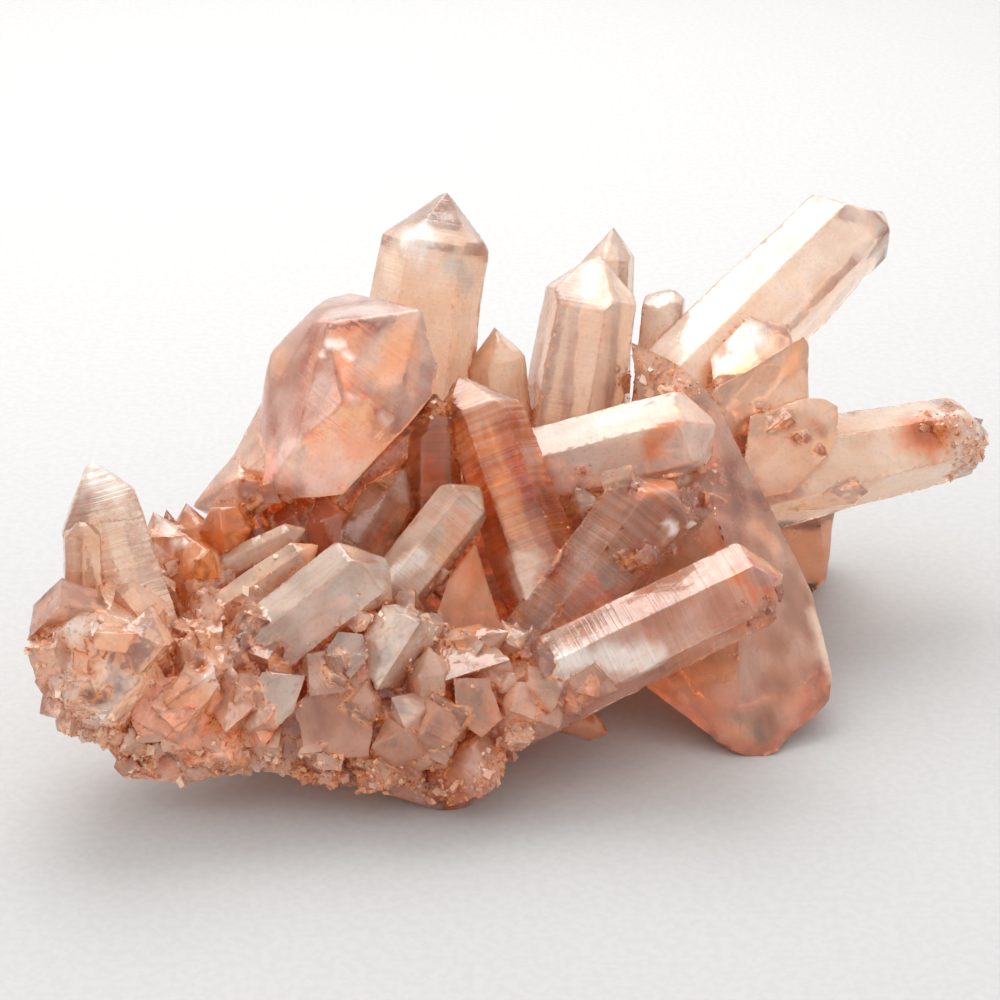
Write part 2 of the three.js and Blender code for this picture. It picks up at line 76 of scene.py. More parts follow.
# Refining: the smallest faces and turns that count, and how far apart corners may be.
WELD = 0.003 * MM
SLIVER = 0.02 * MM ** 2
FLAT = math.radians(0.8)
RIDGE = math.radians(12)
KEEN_RIDGE = 1.5 * RIDGE
SHARP = math.radians(22)
REFINE_PASSES = 9
RIDGE_SPACING = 1.15 * MM
FACE_SPACING = 1.9 * MM
SMALL_CRYSTAL = 160 * MM ** 2
SMALL_COARSER = 1.6
AWAY_COARSER = 2.0
FACING_AWAY = 0.1

# Wear of ridges, with nicks, and of crystal ends.
WEAR = 0.22
SMALL_WEAR = 0.3
UNNICKED = 0.7
NICK = 1.1
NICK_LENGTH = 1.7 * MM
NICK_SHIFT = 3.1
WORN_PASSES = 14
WORN_PULL = 0.5
WORN_REACH = 1.6
WORN_FADE = 1.1

# Waves on the faces, fine waves, crumble and fine crumble: heights, lengths and noise shifts.
WAVE = 0.3 * MM
WAVE_LENGTH = 10 * MM
FINE_WAVE = 0.35 * WAVE
FINE_WAVE_LENGTH = 2.6 * MM
FINE_WAVE_SHIFT = 4.0
CRUMBLE = 0.34 * MM
CRUMBLE_LENGTH = 1.6 * MM
CRUMBLE_SHIFT = 6.0
FINE_CRUMBLE = 0.6
FINE_CRUMBLE_LENGTH = 0.7 * MM
FINE_CRUMBLE_SHIFT = 8.0
CRUMBLE_SINK = 0.3
LEAST_TRAIT = 0.02
ON_FLOOR = 0.02 * MM

# Crust: its splitting, its broken facets, and what is joined to it and strewn on it.
CRUST_PASSES = 2
CRUST_SPACING = 1.0 * MM
CRUST_REACH = 1.1
CRUST_CELL = 2.6 * MM
CRUST_STEP = 0.1 * MM
CRUST_TILT = 0.25
SURFACE_SAMPLES = 60000
STONE_SPREAD = 0.38
STONE_LEAN = 0.55
SEAM_KEEPS = 0.6
EDGE_ROOM = 0.05 * MM

# Grains: how many, the middle of their sizes' logarithm, and the least and most in millimetres.
CRUST_GRAINS = 700
CRUST_GRAIN_MIDDLE = -0.25
CRUST_GRAIN_LIMITS = (0.35, 1.5)
RUST_GRAINS = 3600
RUST_GRAIN_MIDDLE = -1.2
RUST_GRAIN_LIMITS = (0.15, 0.6)
GRAIN_SPREAD = 0.35
GRAIN_LEAN = 0.8
GRAIN_ON_CRUST = 0.05
GRAIN_ON_SMOOTH = 0.1
GRAIN_TINTS = (0.1, 0.6)
GRAIN_CLEARNESSES = (0.0, 0.15)
GRAIN_ROUGHNESS = 0.1
GRAIN_RUSTS = (0.0, 0.6)
GRAIN_LININGS = (0, 0.5)

# How walled in a place is: the rays, how far they look, and the turn from one to the next.
SHELTER_RAYS = 9
SHELTER_REACH = 14 * MM
SHELTER_START = 0.12 * MM
SHELTER_TURN = 2.399963

# The crust's stained low edge: its height, and how far back it reaches.
LOW_EDGE = 13 * MM
LOW_EDGE_FRONT = -20 * MM

# How marks end: how far out in radii, how unevenly, and how steeply. Marks go over onto the crust.
MARK_REACH = 1.5
MARK_UNEVEN = 0.45
MARK_FADE = 1.5
BLUR_LENGTH = 2.2 * MM
FINE_BLUR_LENGTH = 0.9 * MM
FINE_BLUR_SHIFT = 9.0
FINE_BLUR = 0.5
ON_CRUST = 0.2

# Stains, and painted shade in the hollows: how walled in a place is where they begin, their gain, and
# the strength of each.
HOLLOW_FROM = 0.25
HOLLOW_GAIN = 1.6
HOLLOW_RUST_AND_SHADE = 0.75
LOW_ORANGE = 0.8
LOW_GROUND = 0.8
RIDGE_AMBER = 0.5
RIDGE_GROUND = 0.55
RIDGE_LEAST = 0.1
UNEVEN = 0.5
SEAM_RUST = 0.8
ROUGH_RUST = 0.5
ROUGH_STAIN = 0.25
SMALL_TO_PINK = 0.75

# Crystals without a look of their own: the ranges of shade, clearness and lining.
SHADES = (0.9, 1.0)
CLEARNESSES = (0.5, 0.8)
LININGS = (0.0, 0.3)

# Share of light that passes: the least, the range above it, and what stain, roughness and crust take.
LEAST_CLEAR = 0.38
CLEAR_RANGE = 0.6
STAIN_TAKES = 0.8
ROUGH_TAKES = 0.5
CRUST_TAKES = 0.25

# Quartz: how it bends and takes light, and the sizes of the patterns in it. Streaks are drawn out
# along the crystal, and growth lines run across it.
REFRACTION = 1.544
ABSORBED = (0.995, 0.62, 0.29, 1.0)
ABSORPTION = 52.0
COAT = 0.3
COAT_ROUGHNESS = 0.04
DRAWN_OUT = 3.2
CLOUD_SIZE = 7 * MM
STREAK_SIZE = 2.2 * MM
PATCH_SIZE = 2.6 * MM
SPECK_SIZE = 0.7 * MM
LINE_SIZE = 0.5 * MM
TERRACE = 0.07
RELIEF = 0.16 * MM
RELIEF_STRENGTH = 0.8

# How strongly each pattern shows: its share of the colour, of the dullness or of the relief.
AMBER_STREAKS = 0.25
WHITE_CLOUDS = 0.16
AMBER_STAIN = 0.75
RUST_SPECKS = 0.85
SPECKS_ANYWHERE = 0.12
STAINED_CLEAR = 0.3
DULLNESS = (0.05, 0.2)
ROUGH_DULLS = 0.12
LEAST_PITTED = 0.3

# Seeds of the random draws
CRYSTAL_SEED = 19
STONE_SEED = 7
GRAIN_SEED = 11

# Light: how often it may turn, and the side from which most of it comes, above and behind.
LIGHT_BOUNCES = 6
BRIGHT_WAY = (0.0, 0.6, 0.8)


def tone(red, green, blue):
    """A colour given in 0 to 255 steps, as linear light."""
    return np.array([((c / 255 + 0.055) / 1.055) ** 2.4 for c in (red, green, blue)])


TONES = {
    "white": tone(255, 250, 244),
    "milky": tone(254, 234, 214),
    "peach": tone(253, 216, 184),
    "pink": tone(247, 198, 166),
    "mauve": tone(228, 172, 142),
    "amber": tone(238, 148, 76),
    "orange": tone(218, 106, 40),
    "rust": tone(156, 66, 26),
    "brown": tone(204, 136, 90),
    "iron": tone(100, 42, 20),
    "grey": tone(200, 194, 186),
}


# Finding places

def place_seen(tree, right, up):
    """The nearest point and face of a surface at a picture place."""
    through = MIDDLE + (RIGHTWARD * right + UPWARD * up) * MM
    point, _, face, _ = tree.ray_cast(EYE, (through - EYE).normalized())
    return point, face


# Refining the solid

def clean_solid(node):
    """The solid's mesh with its corners joined and its flat faces whole."""
    bm = bmesh.new()
    bm.from_mesh(node.data)
    bmesh.ops.remove_doubles(bm, verts=bm.verts, dist=WELD)
    bmesh.ops.dissolve_limit(bm, angle_limit=FLAT / 2, verts=bm.verts, edges=bm.edges)
    bmesh.ops.triangulate(bm, faces=bm.faces, ngon_method="BEAUTY")
    bm.normal_update()
    return bm


def fold(edge):
    """How much the surface turns at an edge: above zero on a ridge, below zero in a seam."""
    return edge.calc_face_angle_signed(0.0)


def number_crystals(bm):
    """Numbers the faces by crystal: the joined crystals meet in seams."""
    layer = bm.faces.layers.int.new("crystal")
    for face in bm.faces:
        face[layer] = -1
    count = 0
    for start in bm.faces:
        if start[layer] >= 0 or start.calc_area() < SLIVER:
            continue
        start[layer] = count
        reached = [start]
        while reached:
            face = reached.pop()
            for edge in face.edges:
                if fold(edge) < -FLAT:
                    continue
                for other in edge.link_faces:
                    if other[layer] < 0 and other.calc_area() >= SLIVER:
                        other[layer] = count
                        reached.append(other)
        count += 1
    for face in bm.faces:
        if face[layer] < 0:
            longest = sorted(face.edges, key=lambda e: -e.calc_length())
            beside = [f[layer] for e in longest for f in e.link_faces if f[layer] >= 0]
            face[layer] = beside[0] if beside else 0
    return count


def set_coarseness(bm, count):
    """Marks how much coarser than the front's large crystals each face may be."""
    crystal = bm.faces.layers.int["crystal"]
    layer = bm.faces.layers.float.new("coarseness")
    areas = [0.0] * count
    for face in bm.faces:
        areas[face[crystal]] += face.calc_area()
    for face in bm.faces:
        coarseness = SMALL_COARSER if areas[face[crystal]] < SMALL_CRYSTAL else 1.0
        if face.normal.dot(SIGHT) > FACING_AWAY:
            coarseness = AWAY_COARSER
        face[layer] = coarseness


def split_edges(bm, edges):
    """Halves edges, and keeps the faces three-sided and even."""
    bmesh.ops.subdivide_edges(bm, edges=edges, cuts=1)
    wide = [f for f in bm.faces if len(f.verts) > 3]
    bmesh.ops.triangulate(bm, faces=wide, quad_method="SHORT_EDGE", ngon_method="BEAUTY")
    bm.normal_update()
    even = [e for e in bm.edges if abs(fold(e)) < FLAT]
    bmesh.ops.beautify_fill(bm, faces=bm.faces, edges=even, method="ANGLE")
    bm.normal_update()


def refine(bm):
    """Splits long edges until the faces are small enough to shape."""
    coarse = bm.faces.layers.float["coarseness"]
    for _ in range(REFINE_PASSES):
        close = {f for e in bm.edges if abs(fold(e)) > RIDGE for f in e.link_faces}
        long = []
        for edge in bm.edges:
            length = edge.calc_length()
            if length < RIDGE_SPACING:
                continue
            limit = min(
                (RIDGE_SPACING if f in close else FACE_SPACING) * f[coarse] for f in edge.link_faces
            )
            if length > limit:
                long.append(edge)
        if not long:
            break
        split_edges(bm, long)


def mark_line(mark, tree):
    """A mark's line in space: its start, its end, its radius, and the face that it starts on."""
    right, up, right_end, up_end, radius = mark[:5]
    start, face = place_seen(tree, right, up)
    end, _ = place_seen(tree, right_end, up_end)
    return np.array(start), np.array(end), radius * MM, face


def distance_to(line, places):
    """How far places are from a mark's line, in its radii."""
    start, end, radius, _ = line
    along = end - start
    share = ((places - start) @ along) / max(along @ along, 1e-12)
    nearest = start + np.clip(share, 0, 1)[:, None] * along
    return np.linalg.norm(places - nearest, axis=1) / radius


def refine_crust(bm, tree):
    """Splits the crust's edges further."""
    lines = [mark_line(mark, tree) for mark in TRAIT_MARKS["crust"]]
    for _ in range(CRUST_PASSES):
        places = np.array([v.co for v in bm.verts])
        close = np.zeros(len(places), dtype=bool)
        for line in lines:
            close |= distance_to(line, places) < CRUST_REACH
        bm.verts.index_update()
        long = [
            e for e in bm.edges
            if e.calc_length() > CRUST_SPACING and close[e.verts[0].index] and close[e.verts[1].index]
        ]
        split_edges(bm, long)


# Wear, waves and crumble

def scatter_value(place, length, shift=0.0):
    """Smooth noise between about -1 and 1 that changes over a length."""
    return noise.noise(place / length + Vector((shift, shift, shift)))


def wear_ridges(bm):
    """Draws ridge corners in towards their neighbours, more where the edge is nicked."""
    moved = []
    coarse = bm.faces.layers.float["coarseness"]
    for vert in bm.verts:
        folds = [fold(e) for e in vert.link_edges]
        if max(folds) < RIDGE or min(folds) < -FLAT:
            continue
        middle = Vector()
        for edge in vert.link_edges:
            middle += edge.other_vert(vert).co
        inward = middle / len(vert.link_edges) - vert.co
        nick = max(0.0, scatter_value(vert.co, NICK_LENGTH, NICK_SHIFT))
        small = min(f[coarse] for f in vert.link_faces) > 1
        share = (SMALL_WEAR if small else 1.0) * WEAR * (UNNICKED + NICK * nick)
        moved.append((vert, vert.co + vert.normal * inward.dot(vert.normal) * share))
    for vert, place in moved:
        vert.co = place


def wear_ends(bm, tree):
    """Rounds the worn ends of crystals."""
    places = np.array([v.co for v in bm.verts])
    bm.verts.index_update()
    ends = np.array([[v.index for v in e.verts] for e in bm.edges])
    share = np.zeros(len(places))
    for mark in WORN_MARKS:
        far = distance_to(mark_line(mark, tree), places)
        share = np.maximum(share, mark[-1] * np.clip(WORN_REACH - WORN_FADE * far, 0, 1))
    degree = np.bincount(ends.ravel(), minlength=len(places))[:, None]
    for _ in range(WORN_PASSES):
        total = np.zeros_like(places)
        np.add.at(total, ends[:, 0], places[ends[:, 1]])
        np.add.at(total, ends[:, 1], places[ends[:, 0]])
        places += WORN_PULL * share[:, None] * (total / degree - places)
    for vert, place in zip(bm.verts, places):
        vert.co = place


def paint_points(mesh):
    """Vertex places and normals as arrays."""
    places = np.zeros(len(mesh.vertices) * 3)
    normals = np.zeros(len(mesh.vertices) * 3)
    mesh.vertices.foreach_get("co", places)
    mesh.vertices.foreach_get("normal", normals)
    return places.reshape(-1, 3), normals.reshape(-1, 3)


# Looks of the named crystals: a picture place on each, its tone, how clear it is, and how strongly
# it is lined across.
CRYSTALS = [
    (-63, 0, "milky", 0.65, 0.6),
    (-67.3, -9, "peach", 0.74, 0.3),
    (-62, -24, "pink", 0.5, 0.0),
    (-30, 12, "milky", 0.78, 0.15),
    (-40.5, 9, "peach", 0.5, 0.0),
    (-45, 1, "peach", 0.5, 0.0),
    (-13, 38, "milky", 0.6, 0.15),
    (-1, 22, "peach", 0.25, 0.1),
    (12, 25, "milky", 0.4, 0.15),
    (18.4, 41, "milky", 0.5, 0.15),
    (25, 29, "milky", 0.4, 0.1),
    (48, 38, "white", 0.75, 0.15),
    (38, 25, "white", 0.85, 0.0),
    (43, 16, "peach", 0.4, 0.0),
    (47, 9, "peach", 0.4, 0.0),
    (63, 9, "milky", 0.45, 0.1),
    (54, 0.5, "milky", 0.57, 0.0),
    (49, -8, "mauve", 0.6, 0.0),
    (-1, 5, "amber", 0.78, 0.3),
    (18, 11, "milky", 0.25, 0.1),
    (46, -20, "pink", 0.67, 0.0),
    (25, 20, "mauve", 0.57, 0.0),
    (18, -5, "brown", 0.67, 0.2),
    (22, -20, "pink", 0.64, 0.3),
    (13, 0, "brown", 0.57, 0.0),
    (-32, -18, "milky", 0.5, 0.08),
    (-38, -13, "peach", 0.45, 0.08),
    (-38, -7.4, "peach", 0.45, 0.08),
    (-9, -5, "peach", 0.5, 0.35),
    (-3, -15, "amber", 0.5, 0.0),
    (2.6, -22, "pink", 0.57, 0.0),
    (-44, -6, "amber", 0.64, 0.0),
    (-54, -7, "amber", 0.57, 0.0),
    (-50, -4, "amber", 0.57, 0.0),
    (-49, -9, "amber", 0.57, 0.0),
    (-47, -12, "amber", 0.57, 0.0),
    (-11, 8, "brown", 0.6, 0.1),
    (-18, -1, "brown", 0.6, 0.1),
    (-22, 4, "pink", 0.6, 0.1),
    (-36, -2, "orange", 0.57, 0.0),
    (-28.4, -3, "orange", 0.57, 0.0),
    (-38.6, -4, "orange", 0.57, 0.0),
    (-37, -32, "milky", 0.5, 0.0),
    (-27, -35, "mauve", 0.5, 0.0),
    (-24.5, -24, "milky", 0.85, 0.0),
    (-11, -30, "pink", 0.6, 0.1),
    (-4, -32, "pink", 0.57, 0.0),
    (-14, -22.5, "milky", 0.53, 0.0),
    (-53, -33, "mauve", 0.51, 0.0),
    (-18, -38, "mauve", 0.5, 0.0),
    (14, -36, "amber", 0.57, 0.0),
]

# Tone marks: from one picture place to another, radius and strength, in the order they are laid.
TONE_MARKS = [
    ("white", [
        (-65, 5, -62.5, 2, 4, 0.5),
        # Painted glints: white flecks where light catches the head's inner cracks.
        (-27.4, 25, -25.6, 24.6, 0.9, 0.9),
        (-28.6, 23.4, -28, 23.2, 0.7, 0.9),
        (-24.6, 23.2, -24, 22.8, 0.6, 0.9),
        (-24, 16.2, -23, 15.8, 0.6, 0.8),
        (-19, 13.6, -18, 12.6, 0.8, 0.5),
        # Painted glint, a white highlight.
        (-46, -28, -42, -24, 2.6, 0.6),
        # Painted glints, white highlights.
        (27, -3.6, 28, -5.2, 0.8, 0.8),
        (-69, -21, -65, -20, 1.6, 0.8),
        (-34, 4, -28, 4, 6, 0.5),
        (-13.2, 42, -12.6, 30, 4, 0.9),
        (14.6, 37, 14, 33, 1.8, 0.5),
        (35, 22, 40, 27, 3, 0.9),
        (16, 12.4, 22, 14, 1, 0.4),
        (10, -26, 24, -25.4, 2.6, 0.8),
        (30, -4, 34, 2, 2.4, 0.7),
        (28.6, 3.2, 29.6, 3.6, 0.9, 0.9),
        (-17.5, -12, -13, -9, 1.6, 0.7),
        # Painted glare, a white highlight.
        (-52, -5, -51, -6.4, 1.4, 0.9),
    ]),
    ("milky", [
        (4, -11, 3, -18, 4, 0.7),
        (62, 3, 74, 5, 1.8, 0.6),
        (50, -18, 53, -28, 1.2, 0.6),
    ]),
    ("peach", [
        (-17.5, 38, -18.5, 27, 2.6, 0.6),
        (52, 46.6, 59, 44.5, 1.8, 0.6),
        (36, 28, 46, 36, 3, 0.5),
        (60, 44, 58, 39, 1.6, 0.6),
        (44, 38, 47, 35, 2, 0.5),
        (48, 35, 49, 33, 1.4, 0.6),
        (32, 25, 38, 30, 6, 0.6),
    ]),
    ("grey", [
        (-25, 30, -14, 30.5, 3, 0.35),
        (-6.5, 37.5, -5, 35, 2.4, 0.8),
        (54, 32, 58, 36, 1.8, 0.5),
        (72, 12, 76, 8, 4, 0.4),
        (-26, -15.4, -24, -15.6, 2, 0.5),
    ]),
    ("amber", [
        (-15, 25, -19, 20, 3.4, 0.75),
        (-30, 12, -24.5, 15.6, 0.9, 0.5),
        (-22, 15.4, -14, 17, 0.7, 0.35),
        (-2, 24, -3, 18, 1.2, 0.4),
        (2, 20, 2.5, 17, 1, 0.4),
        (33, 20.5, 33.4, 19, 1.4, 0.7),
        (47.4, 24, 46.6, 20.5, 1.8, 0.7),
        (66, 10.5, 69, 10, 4, 0.7),
        (-5, 16, 2, -5, 1.3, 0.7),
        (-2.5, 14, 4, -5, 1, 0.5),
        (24, 9.5, 24.4, 8, 1.6, 0.7),
        (26, 12, 31, 16.5, 1.8, 0.5),
        (41.4, -4.4, 44, -7.6, 1.6, 0.5),
        (30, -29, 38, -37, 2.6, 0.5),
        (-30, -8.6, -20, -10, 2, 0.6),
        (-6, -3, -9, -9, 2, 0.5),
    ]),
    ("orange", [
        (-42, 3, -34, 2, 3, 0.5),
        (66.6, 10.8, 69, 10, 3.4, 0.9),
        (-62, -40, -50, -42.5, 2.6, 0.55),
        (-50, -43, -30, -44, 2.6, 0.5),
        (-30, -44.6, -8, -47, 2.6, 0.6),
        (-58, -34, -40, -38, 3.4, 0.25),
        (-10, -34, 4, -30, 3.4, 0.25),
        (-7, -3, -4, -9, 2.2, 0.5),
        (-8, -46.4, 2, -40, 2.6, 0.45),
        (-8, -37, 6, -34, 3, 0.3),
        (14, -31, 30, -24, 2, 0.6),
        (-73, -17, -60, -13.5, 1.2, 0.5),
        (23, 1.4, 28, 2.6, 2, 0.8),
        (38.6, -9, 43.6, -12.5, 3, 1.0),
        (39, -12.4, 43.4, -13.4, 3, 1.0),
        (24, 8, 28, 12.5, 1.8, 0.7),
        (33, -32, 44, -34, 3, 0.4),
        (46, -33, 49, -31, 1.8, 0.6),
        (-6, -10, -3, -20, 3, 0.6),
        (-44, -5, -44, -6, 3.6, 0.4),
    ]),
    ("rust", [
        (39.4, -9.6, 43, -12, 2.4, 0.75),
        (41, -12.2, 43.4, -13, 1.8, 0.7),
        (66.8, 10.8, 68.2, 10.4, 1.8, 0.6),
        (-60, -42, -46, -44, 1.2, 0.5),
        (-24, -44.6, -8, -46.4, 1.6, 0.6),
        (-33, -4, -30, -2, 2, 0.5),
        (50, 12.6, 51.5, 11, 1.2, 0.8),
        (-41, 1.5, -33, 0.8, 1.6, 0.7),
        (-71.5, -20, -70.5, -20, 1, 0.7),
        (20, -10, 27, -8, 1.1, 0.7),
        (14, -32.4, 31, -24.6, 1.8, 0.8),
        (40, -31, 44, -37, 2, 0.35),
    ]),
    ("brown", [
        (-24.6, 20, -24.4, 20.6, 0.9, 0.5),
        (-24.5, 15.6, -22.5, 15.4, 0.8, 0.5),
        (36, 23.5, 35.5, 24.5, 1, 0.8),
        (50, 12, 51.5, 10.8, 1.8, 0.5),
        (-5, 18, -2, 15, 3, 0.5),
        (22, 21, 30, 18, 4, 0.4),
    ]),
    ("iron", [
        (-65.5, -31.5, -63.5, -31.5, 1.5, 0.9),
        (-61, -30, -61, -28.6, 0.9, 0.7),
        (67, 11, 67.2, 10.8, 0.6, 0.8),
        (15, -5.4, 19.5, -6.6, 1.2, 0.6),
        (20.4, 18, 22, 20, 1.3, 0.6),
        (-18, -32, -16, -33, 1.6, 0.8),
        (-52, -15, -51, -14, 0.9, 0.6),
        (-16, 4, -12.5, 0, 0.6, 0.7),
        (-24, 2, -20, 6, 0.6, 0.8),
    ]),
]

# Small crystals that are joined on: a line between picture places, its radius, how many, and their
# usual thickness.
CRUST_STONES = [
    (-70, -30, -58, -39, 5, 9, 6.4),
    (-58, -38, -36, -40, 5, 18, 7.0),
    (-36, -41, -18, -43, 4, 13, 6.4),
    (-18, -40, 0, -39, 5, 16, 6.4),
    (-50, -28, -44, -34, 5, 9, 7.6),
    (-44, -36, -36, -38, 4, 5, 6.6),
    (-52, -24, -48, -18, 4, 7, 5.0),
    (-55, -8, -44, -16, 5, 14, 3.8),
    (-20, -19, -8, -25, 5, 10, 6.0),
    (-24, -28, -16, -34, 4, 5, 6.4),
    (-2, -26, 6, -34, 5, 10, 6.0),
    (-71, -22, -60, -29, 6, 12, 4.6),
    (-74, -20, -68, -36, 4, 12, 3.8),
    (-56, -20, -50, -22, 4, 7, 4.6),
    (-42, -22, -34, -26, 4, 6, 5.6),
    (-30, -24, -26, -28, 3, 4, 5.2),
    (-10, -12, -4, -6, 3, 7, 3.0),
    (6, -24, 12, -30, 3, 6, 4.2),
    (20, -10, 27, -8, 2, 9, 2.0),
    (30, -4, 34, 2, 3, 12, 1.9),
    (40, -18, 44, -15, 2, 6, 1.6),
    (14, 5, 20, 3, 2.4, 8, 2.2),
    (44, 14, 50, 8, 2.4, 6, 2.4),
    (-40, 3, -34, 1, 3.5, 8, 1.8),
    (20, 20, 28, 18, 2.6, 22, 1.2),
    (72, 12, 77, 7, 4, 30, 1.3),
    (-12, 14, -9, 14.6, 2, 8, 1.1),
]

# Where ends are rounded by wear: a line between picture places, its radius and strength.
WORN_MARKS = [
    (-65.2, 5, -64, 1, 5, 1.0),
    (-67.6, -1, -67.4, -4, 2, 0.7),
    (-31, 28, -37, 14, 4, 0.6),
    (14.6, 35, 12, 30, 3, 0.6),
    (74, 12, 77, 6, 4, 0.7),
    (39, -37, 46, -35, 3, 0.7),
    (30, 13, 32, 10, 4, 0.7),
    (59, 44, 60, 42, 3, 0.6),
    (-22, -7, -18, -12, 3, 0.6),
    (25, 3, 28, 0, 3, 0.5),
]

# Trait marks, the same way: how clear, how crumbled, how lined across.
TRAIT_MARKS = {
    "clear": [
        (-65.8, -8, -65.2, -4, 1.8, 0.9),
        (-13.2, 42, -12.6, 30, 4, 0.95),
        (-26, -15.4, -24, -15.6, 2.4, 0.9),
    ],
    "rough": [
        (-74, -24, -66, -35, 3, 0.8),
        (-66, -36, -58, -41, 4, 1.0),
        (-58, -42, -40, -42, 3.6, 1.0),
        (-40, -42, -22, -44.5, 3.6, 1.0),
        (-22, -45, -6, -48, 3.6, 1.0),
        (-4, -46, 4, -38, 3, 1.0),
        (-69, -21, -65, -20, 1.8, 0.7),
        (71, 13, 76, 8, 4, 1.0),
        (22, 21, 29, 19, 3.4, 0.6),
        (-12, 14, -9, 14.6, 2, 0.7),
        (-52, -24, -36, -10, 2, 0.4),
        (-20, -19, -8, -22, 3, 0.4),
    ],
    "crust": [
        (-70, -30, -58, -38, 5, 0.9),
        (-58, -38, -36, -39, 5, 1.0),
        (-36, -40, -18, -42, 4, 0.9),
        (-18, -41, 2, -40, 5, 1.0),
        (-50, -28, -44, -34, 5, 0.9),
        (-44, -36, -36, -38, 4, 0.8),
        (-52, -24, -48, -18, 4, 0.7),
        (-55, -8, -44, -16, 4, 0.6),
        (-20, -19, -8, -25, 5, 0.9),
        (-24, -28, -16, -34, 4, 0.8),
        (-2, -26, 6, -34, 5, 0.7),
        (-40, 3, -34, 1, 4, 0.5),
        (22, 21, 29, 19, 3, 0.5),
        (71, 13, 76, 8, 4, 0.8),
        (-71, -23, -61, -30, 7, 0.8),
    ],
    "lined": [
        (10, -26, 24, -25.4, 3, 1.0),
        (-60, -2, -57, -14, 3, 1.0),
        (-18, -12, -12, -8, 2.4, 1.0),
        (-31, 20, -27, 13, 2.4, 0.6),
    ],
}
OWN_CRYSTAL_ONLY = {"clear", "lined"}
TRAITS = ("clear", "rough", "lined", "rust", "crust")


def blur_of(places):
    """An uneven value at each place that roughens the edges of the marks."""
    spots = [Vector(p) for p in places]
    wide = np.array([scatter_value(s, BLUR_LENGTH) for s in spots])
    fine = np.array([scatter_value(s, FINE_BLUR_LENGTH, FINE_BLUR_SHIFT) for s in spots])
    return wide + FINE_BLUR * fine


def shelter_of(places, normals, tree):
    """How walled in each point is, from 0 in the open to 1."""
    ways = []
    for n in range(SHELTER_RAYS):
        height = (n + 0.5) / SHELTER_RAYS
        turn = n * SHELTER_TURN
        flat = math.sqrt(1 - height * height)
        ways.append(Vector((flat * math.cos(turn), flat * math.sin(turn), height)))
    found = np.zeros(len(places))
    for n, (place, normal) in enumerate(zip(places, normals)):
        normal = Vector(normal)
        spin = normal.to_track_quat("Z", "Y")
        start = Vector(place) + normal * SHELTER_START
        total = 0.0
        for way in ways:
            away = tree.ray_cast(start, spin @ way, SHELTER_REACH)[3]
            if away is not None:
                total += 1 - away / SHELTER_REACH
        found[n] = total / SHELTER_RAYS
    return found


class Painter:
    """Lays tones and traits on the face corners of a mesh."""

    def __init__(self, mesh, tree, crystal_of_face):
        self.tree = tree
        self.crystal_of_face = crystal_of_face
        self.places, self.normals = paint_points(mesh)
        self.points = np.zeros(len(mesh.loops), dtype=np.int64)
        mesh.loops.foreach_get("vertex_index", self.points)
        totals = np.zeros(len(mesh.polygons), dtype=np.int64)
        mesh.polygons.foreach_get("loop_total", totals)
        self.crystals = np.repeat(crystal_of_face, totals)
        self.blur = blur_of(self.places)
        self.tones = np.zeros((len(self.points), 3))
        self.traits = {name: np.zeros(len(self.points)) for name in TRAITS}

    def reach(self, mark, own):
        """How strongly a mark lies on each corner."""
        line = mark_line(mark, self.tree)
        far = distance_to(line, self.places)
        amount = mark[-1] * np.clip(MARK_REACH - far - MARK_UNEVEN * self.blur, 0, 1) ** MARK_FADE
        amount = amount[self.points]
        if own:
            same = self.crystals == self.crystal_of_face[line[3]]
            amount = amount * (same | (self.traits["crust"] > ON_CRUST))
        return amount

    def corner_areas(self):
        """A third of the face's area at each corner."""
        sides = self.places[self.points.reshape(-1, 3)]
        spans = np.cross(sides[:, 1] - sides[:, 0], sides[:, 2] - sides[:, 0])
        return np.repeat(np.linalg.norm(spans, axis=1) / 6, 3)

    def lay_tone(self, name, amount):
        """Mixes a tone into the corners."""
        self.tones += (TONES[name] - self.tones) * amount[:, None]


def lay_crystals(painter, count):
    """The ground tone, clearness and lining of every crystal."""
    random_of = np.random.default_rng(CRYSTAL_SEED)
    ground = [TONES["pink"], TONES["milky"], TONES["peach"], TONES["mauve"]]
    tones = np.array([
        ground[random_of.integers(len(ground))] * random_of.uniform(*SHADES) for _ in range(count)
    ])
    whole = np.bincount(painter.crystals, painter.corner_areas(), count)
    small = whole < SMALL_CRYSTAL
    tones[small] += SMALL_TO_PINK * (TONES["pink"] - tones[small])
    clear = random_of.uniform(*CLEARNESSES, count)
    lined = random_of.uniform(*LININGS, count)
    for right, up, name, clearness, lining in CRYSTALS:
        _, face = place_seen(painter.tree, right, up)
        crystal = painter.crystal_of_face[face]
        tones[crystal] = TONES[name]
        clear[crystal] = clearness
        lined[crystal] = lining
    painter.tones = tones[painter.crystals]
    painter.traits["clear"] = clear[painter.crystals]
    painter.traits["lined"] = lined[painter.crystals]


